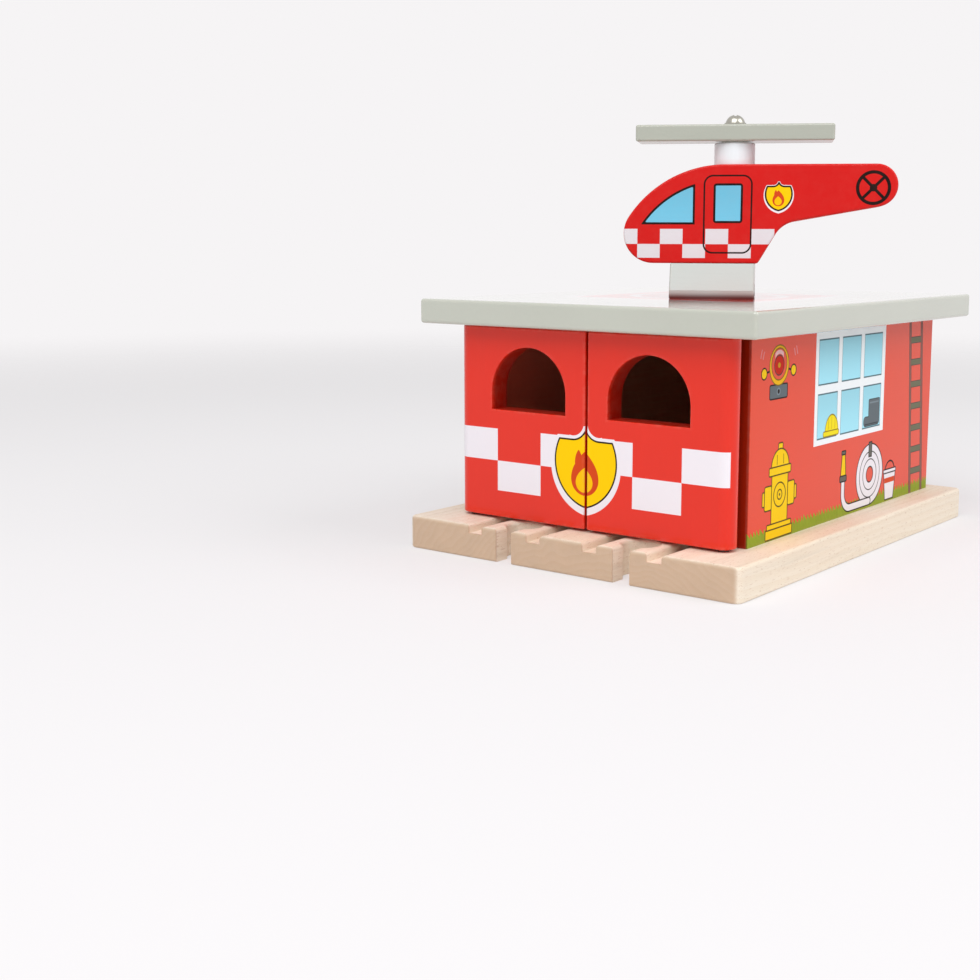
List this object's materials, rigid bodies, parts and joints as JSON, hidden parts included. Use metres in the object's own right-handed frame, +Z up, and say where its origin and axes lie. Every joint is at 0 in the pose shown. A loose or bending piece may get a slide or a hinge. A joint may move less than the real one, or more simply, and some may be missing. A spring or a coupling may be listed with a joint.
{
  "type": "toy fire station",
  "caption": "Wooden toy fire station with hinged doors, track lanes with sockets, a flat roof with a landing pad and a loose helicopter with a turning rotor.",
  "frame": {"origin": "middle of the underside of the base board", "axes": "+X along the front from the left door to the right door, as seen from the front; +Y from the doors to the back wall; +Z up"},
  "size_m": [0.1412, 0.185, 0.1592],
  "materials": {
    "beech_wood": "sanded, oiled",
    "red_paint": "satin paint",
    "grey_paint": "satin paint",
    "white_paint": "satin paint",
    "dowel_wood": "sanded",
    "steel": "zinc plated"
  },
  "bodies": {
    "station": {"base": "beech_wood", "left_wall": "red_paint", "right_wall": "red_paint", "back_wall": "red_paint", "roof": "grey_paint", "roof_dowels": "dowel_wood", "corner_dowels": "dowel_wood", "base_screws": "steel"},
    "left_door": {"left_door": "red_paint", "left_door_lower_pin": "steel", "left_door_upper_pin": "steel"},
    "right_door": {"right_door": "red_paint", "right_door_lower_pin": "steel", "right_door_upper_pin": "steel"},
    "helicopter": {"stand": "grey_paint", "stand_screws": "steel", "fuselage": "red_paint", "mast": "white_paint", "rotor_washer": "steel", "rotor_screw": "steel"},
    "rotor": {"rotor": "grey_paint"}
  },
  "joints": [
    {"name": "left_door_hinge", "type": "hinge", "parent": "station", "child": "left_door", "pos_m": [-0.053, -0.0735, 0.013], "axis": [0, 0, -1], "range_deg": [-18, 190]},
    {"name": "right_door_hinge", "type": "hinge", "parent": "station", "child": "right_door", "pos_m": [0.053, -0.0735, 0.013], "axis": [0, 0, 1], "range_deg": [-18, 190]},
    {"name": "helicopter_lift", "type": "slide", "parent": "station", "child": "helicopter", "axis": [0, 0, 1], "range_m": [0, 0.15]},
    {"name": "rotor_spin", "type": "hinge", "parent": "helicopter", "child": "rotor", "pos_m": [0.01527, -0.00567, 0.1494], "axis": [0, 0, 1], "continuous": true}
  ]
}
